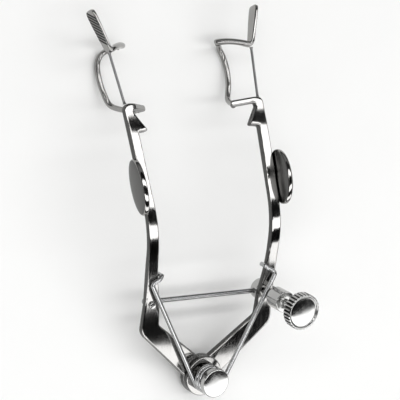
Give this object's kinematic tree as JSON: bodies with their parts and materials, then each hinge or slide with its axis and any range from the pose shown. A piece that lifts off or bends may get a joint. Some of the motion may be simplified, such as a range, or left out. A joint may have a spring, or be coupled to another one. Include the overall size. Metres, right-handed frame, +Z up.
{
  "type": "eye speculum",
  "caption": "Self-retaining eyelid speculum: spring-opened arms with open wire blades and serrated suture posts, held by a cross rod and a thumb-screw lock.",
  "frame": {"origin": "middle of the footprint, on the surface that the instrument rests on (pivot nut and lid wires touch it)", "axes": "+Y from the pivot to the blades' suture posts, +Z up, +X towards the arm that carries the lock"},
  "size_m": [0.0446, 0.0876, 0.0249],
  "materials": {
    "polished_plate": "polished nickel-plated steel",
    "drawn_wire": "drawn and plated steel wire, fine lengthwise sheen",
    "turned_steel": "turned and plated steel, fine ring marks"
  },
  "bodies": {
    "left_half": {"left_arm": "polished_plate", "left_finger_plate": "polished_plate", "left_lid_wire": "polished_plate", "left_guard_wire": "drawn_wire", "left_suture_post": "polished_plate", "pivot_screw": "turned_steel", "pivot_nut": "turned_steel", "torsion_spring": "drawn_wire", "rod_pin": "turned_steel"},
    "right_half": {"right_arm": "polished_plate", "right_finger_plate": "polished_plate", "right_lid_wire": "polished_plate", "right_guard_wire": "drawn_wire", "right_suture_post": "polished_plate"},
    "rod": {"cross_rod": "drawn_wire"},
    "post": {"lock_post": "turned_steel", "lock_collar": "turned_steel"},
    "thumb": {"thumb_screw": "turned_steel"}
  },
  "joints": [
    {"name": "arm_closing", "type": "hinge", "parent": "left_half", "child": "right_half", "pos_m": [0, -0.03836, 0.00344], "axis": [0, -0.3623, 0.9321], "range_deg": [0, 18], "stiffness_Nm_per_rad": 0.155, "deforming": ["torsion_spring"]},
    {"name": "rod_swivel", "type": "hinge", "parent": "left_half", "child": "rod", "pos_m": [-0.0152, -0.021, 0.0082], "axis": [0, -0.3623, 0.9321], "range_deg": [0, 9.4]},
    {"name": "post_swivel", "type": "hinge", "parent": "right_half", "child": "post", "pos_m": [0.0157, -0.021, 0.0082], "axis": [0, -0.3623, 0.9321], "range_deg": [-9.1, 0]},
    {"name": "thumb_turn", "type": "hinge", "parent": "post", "child": "thumb", "pos_m": [0.0157, -0.021, 0.0082], "axis": [0, -0.3623, 0.9321], "range_deg": [0, 360]}
  ],
  "couplings": [
    {"joint": "rod_swivel", "follows": "arm_closing", "ratio": 0.51},
    {"joint": "post_swivel", "follows": "arm_closing", "ratio": -0.49}
  ]
}
